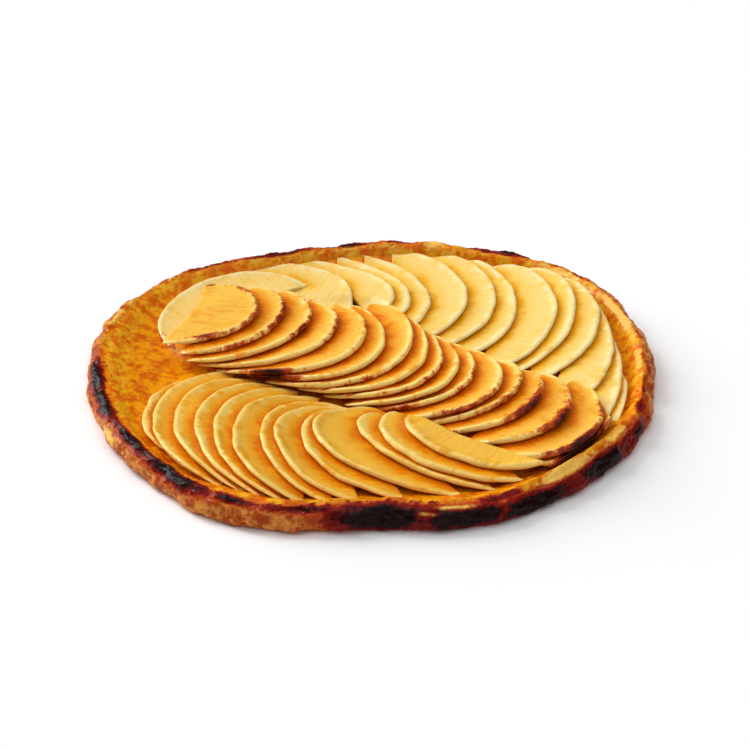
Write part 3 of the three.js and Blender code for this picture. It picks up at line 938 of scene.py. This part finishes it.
# ---- materials ---------------------------------------------------------------------------------
class Shader:
    """A small helper to build one procedural material."""

    def __init__(self, name):
        self.material = bpy.data.materials.new(name)
        self.material.use_nodes = True
        self.tree = self.material.node_tree
        self.surface = self.tree.nodes["Principled BSDF"]
        coordinates = self.tree.nodes.new("ShaderNodeTexCoord")
        self.place = coordinates.outputs["Object"]

    def link(self, value, socket):
        if isinstance(value, bpy.types.NodeSocket):
            self.tree.links.new(value, socket)
        else:
            socket.default_value = value

    def fact(self, name):
        node = self.tree.nodes.new("ShaderNodeAttribute")
        node.attribute_name = name
        return node.outputs["Fac"]

    def math(self, operation, a, b):
        node = self.tree.nodes.new("ShaderNodeMath")
        node.operation = operation
        self.link(a, node.inputs[0])
        self.link(b, node.inputs[1])
        return node.outputs[0]

    def total(self, *terms):
        """The sum of some values, each given as (weight, value)."""
        total = 0.0
        for weight, value in terms:
            total = self.math("ADD", total, self.math("MULTIPLY", value, weight))
        return total

    def ramp(self, value, low, high, bottom=0.0, top=1.0):
        node = self.tree.nodes.new("ShaderNodeMapRange")
        node.interpolation_type = "SMOOTHSTEP"
        self.link(value, node.inputs["Value"])
        node.inputs["From Min"].default_value = low
        node.inputs["From Max"].default_value = high
        node.inputs["To Min"].default_value = bottom
        node.inputs["To Max"].default_value = top
        return node.outputs["Result"]

    def noise(self, size, detail, place=None):
        node = self.tree.nodes.new("ShaderNodeTexNoise")
        node.inputs["Scale"].default_value = 1 / (size * MM)
        node.inputs["Detail"].default_value = detail
        self.link(place or self.place, node.inputs["Vector"])
        return node.outputs[0]

    def centred(self, value):
        """Noise from about -1 to 1 instead of 0 to 1."""
        return self.math("MULTIPLY", self.math("SUBTRACT", value, 0.5), 2.0)

    def combine(self, x, y, z):
        node = self.tree.nodes.new("ShaderNodeCombineXYZ")
        for socket, value in zip(node.inputs, (x, y, z)):
            self.link(value, socket)
        return node.outputs[0]

    def mix(self, share, a, b):
        node = self.tree.nodes.new("ShaderNodeMix")
        node.data_type = "RGBA"
        self.link(share, node.inputs["Factor"])
        self.link(a, node.inputs["A"])
        self.link(b, node.inputs["B"])
        return node.outputs["Result"]

    def darkened(self, colour, value, rows):
        """A colour that gives way to others as a value rises: rows (from, to, colour)."""
        for low, high, darker in rows:
            colour = self.mix(self.ramp(value, low, high), colour, darker)
        return colour

    def bump(self, height, distance):
        node = self.tree.nodes.new("ShaderNodeBump")
        node.inputs["Strength"].default_value = 1.0
        node.inputs["Distance"].default_value = distance * MM
        self.link(height, node.inputs["Height"])
        return node.outputs["Normal"]

    def set(self, **values):
        for key, value in values.items():
            name = key.replace("_", " ").title().replace("Ior", "IOR")
            self.link(value, self.surface.inputs[name])


def streaks_in(shader, inward, patches):
    """Noise in streaks that run from a slice's peel edge to its core side."""
    place = shader.combine(
        shader.math("MULTIPLY", shader.fact("along"), STREAK_ALONG * MM),
        shader.math("MULTIPLY", inward, STREAK_INWARD * MM),
        shader.math("MULTIPLY", patches, STREAK_BEND * MM),
    )
    return shader.centred(shader.noise(*APPLE_STREAKS, place))


def apple_material(name, ridge, face, deep, glaze, shade):
    """Baked apple: a painted highlight along the peel edge's ridge, and painted shade with pooled glaze
    towards the next slice.
    """
    shader = Shader(name)
    inward, next_edge = shader.fact("inward"), shader.fact("next_edge")
    patches = shader.centred(shader.noise(*APPLE_PATCHES))
    mottle = shader.centred(shader.noise(*APPLE_MOTTLE))
    grain = shader.noise(*APPLE_GRAIN)
    streaks = streaks_in(shader, inward, patches)
    shift = shader.total((SHIFT_BY_PATCHES, patches), (SHIFT_BY_STREAKS, streaks))
    to_next = shader.math("ADD", next_edge, shift)
    width = shader.math("ADD", inward, shader.math("ADD", next_edge, LEAST_FACE))
    share = shader.total((1.0, shader.math("DIVIDE", inward, width)), (SHARE_SHIFT, shift))

    # painted shade: the deeper colour comes in across the recess towards the next slice's edge
    recess_shade = shader.ramp(to_next, *RECESS_SHADE_DISTANCE, shade, 0.0)
    recess_shade = shader.math("MULTIPLY", recess_shade, shader.ramp(share, *RECESS_SHADE_SHARE))
    colour = shader.mix(recess_shade, face, deep)
    blush = shader.total((1.0, patches), (BLUSH_STREAKS, streaks))
    colour = shader.mix(shader.ramp(blush, *BLUSH), colour, deep)
    # painted highlight: a paler colour along the raised peel edge, where it would catch the light
    ridge_highlight = shader.ramp(shader.math("ADD", inward, shift), *RIDGE_HIGHLIGHT_WIDTH, 1.0, 0.0)
    colour = shader.mix(ridge_highlight, colour, ridge)
    # pooled glaze at the foot of the next slice's edge, and painted shade of that recess
    glaze_and_shade = shader.ramp(to_next, *GLAZE_AND_SHADE_DISTANCE, 1.0, 0.0)
    glaze_and_shade = shader.math("MULTIPLY", glaze_and_shade, shader.ramp(share, *GLAZE_AND_SHADE_SHARE))
    colour = shader.mix(glaze_and_shade, colour, glaze)
    specks = shader.total((BROWN_BY_MOTTLE, mottle), (BROWN_BY_GRAIN, shader.centred(grain)))
    brown = shader.math("ADD", shader.fact("brown"), specks)
    colour = shader.darkened(colour, brown, BROWN_APPLE)

    bumps = shader.total((BUMPS_BY_GRAIN, grain), (BUMPS_BY_STREAKS, streaks))
    shader.set(base_color=colour, roughness=shader.ramp(to_next, *GLOSS), **APPLE_FINISH)
    shader.set(normal=shader.bump(bumps, APPLE_BUMP))
    return shader.material


def crust_material():
    """Flaky pastry, burnt along its crest, glossy orange inside the rim."""
    shader = Shader("baked_pastry")
    over, burn, gold = (shader.fact(name) for name in ("over", "burn", "gold"))
    waves = (PASTRY_PATCHES, PASTRY_MOTTLE, PASTRY_GRAIN)
    patches, mottle, grain = (shader.centred(shader.noise(*wave)) for wave in waves)
    tone = shader.total((1.0, patches), (TONE_BY_MOTTLE, mottle), (TONE_BY_LUMPS, shader.fact("lump")))

    rim_tone = shader.ramp(tone, *RIM_TONE_RANGE)
    outer, inner = shader.mix(rim_tone, *OUTER_TONES), shader.mix(rim_tone, *INNER_TONES)
    floor = shader.mix(shader.ramp(tone, *FLOOR_TONE_RANGE), *FLOOR_TONES)
    colour = shader.mix(shader.ramp(over, *INNER_FROM), outer, inner)
    colour = shader.mix(shader.ramp(over, *FLOOR_FROM), colour, floor)
    charred = shader.total((1.0, burn), (CHAR_BY_TONE, tone), (CHAR_BY_GRAIN, grain), (-1.0, gold))
    colour = shader.darkened(colour, charred, BURNT_PASTRY)
    golden = shader.total((1.0, gold), (GOLD_BY_TONE, tone))
    colour = shader.mix(shader.ramp(golden, *GOLD_RANGE), colour, GOLDEN)

    shader.set(base_color=colour, roughness=shader.ramp(over, *PASTRY_GLOSS), **PASTRY_FINISH)
    shader.set(normal=shader.bump(shader.noise(*PASTRY_BUMPS), PASTRY_BUMP))
    return shader.material


# ---- stage -------------------------------------------------------------------------------------
CAMERA_DISTANCE = 900.0
CAMERA_ELEVATION = 30.0
CAMERA_TARGET = (1.233, -0.788, 4.0)
LENS = 113.7
SENSOR = 36.0
TABLE_HALF = 4000.0
TABLE_COLOUR = (0.95, 0.95, 0.955, 1.0)
TABLE_ROUGHNESS = 0.9

# The lamps, all far away: direction they come from, how wide they look in degrees, strength.
FROM_HIGH_LEFT = (-0.6, 0.45, 0.75)
FROM_LOW_LEFT = (-0.76, 0.55, 0.34)
FROM_FRONT = (0.25, -0.8, 0.55)
LAMPS = {
    "high_window": (FROM_HIGH_LEFT, 30, 0.66),
    "low_window": (FROM_LOW_LEFT, 36, 2.1),
    "front_fill": (FROM_FRONT, 60, 0.35),
    "glints": (FROM_HIGH_LEFT, 4, 0.3),
}
SKY_LOW, SKY_HIGH = 0.06, 1.5  # the sky's brightness at the horizon, and what it gains overhead
SKY_POWER = 4.0  # the higher, the nearer to overhead it gains it


def add_floor():
    mesh = bpy.data.meshes.new("floor")
    half = TABLE_HALF * MM
    corners = [(-half, -half, 0), (half, -half, 0), (half, half, 0), (-half, half, 0)]
    mesh.from_pydata(corners, [], [(0, 1, 2, 3)])
    floor = add_object("floor", mesh)
    shader = Shader("white_table")
    shader.set(base_color=TABLE_COLOUR, roughness=TABLE_ROUGHNESS)
    floor.data.materials.append(shader.material)


def add_lamps():
    for name, (direction, width, strength) in LAMPS.items():
        data = bpy.data.lights.new(name, "SUN")
        data.angle = math.radians(width)
        data.energy = strength
        lamp = add_object(name, data)
        lamp.rotation_euler = Vector(direction).to_track_quat("Z", "Y").to_euler()


def add_sky():
    """A white sky that is bright overhead and dark at the horizon."""
    world = bpy.data.worlds.new("studio")
    world.use_nodes = True
    nodes, links = world.node_tree.nodes, world.node_tree.links
    direction = nodes.new("ShaderNodeTexCoord")
    split = nodes.new("ShaderNodeSeparateXYZ")
    rise = nodes.new("ShaderNodeMath")
    rise.operation = "POWER"
    rise.use_clamp = True
    rise.inputs[1].default_value = SKY_POWER
    strength = nodes.new("ShaderNodeMapRange")
    strength.inputs["To Min"].default_value = SKY_LOW
    strength.inputs["To Max"].default_value = SKY_LOW + SKY_HIGH
    links.new(direction.outputs["Generated"], split.inputs[0])
    links.new(split.outputs["Z"], rise.inputs[0])
    links.new(rise.outputs[0], strength.inputs["Value"])
    links.new(strength.outputs["Result"], nodes["Background"].inputs["Strength"])
    nodes["Background"].inputs["Color"].default_value = (1, 1, 1, 1)
    bpy.context.scene.world = world


def add_camera():
    data = bpy.data.cameras.new("camera")
    data.lens = LENS
    data.sensor_width = SENSOR
    camera = add_object("camera", data)
    elevation = math.radians(CAMERA_ELEVATION)
    back = Vector((0, -math.cos(elevation), math.sin(elevation)))
    target = Vector(CAMERA_TARGET) * MM
    camera.location = target + back * CAMERA_DISTANCE * MM
    camera.rotation_euler = (-back).to_track_quat("-Z", "Y").to_euler()
    bpy.context.scene.camera = camera


# ---- assembly ----------------------------------------------------------------------------------
def main():
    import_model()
    add_camera()
    add_floor()
    add_lamps()
    add_sky()
    bpy.context.scene.view_settings.view_transform = "Standard"
    slots = {"upper": "apple_pale", "lower": "apple_golden", "middle": "apple_browned"}
    materials = {name: apple_material(slots[name], *colours) for name, colours in APPLE_COLOURS.items()}
    crust = crust_piece()
    crust.data.materials.append(crust_material())
    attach(crust, "root")
    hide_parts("crust")
    for fan in FANS:
        for number in range(fan["count"]):
            piece = slice_piece(fan, number)
            piece.data.materials.append(materials[fan["name"]])
            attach(piece, "root")
            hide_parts(f"slice_{fan['name']}_{number + 1}")


main()
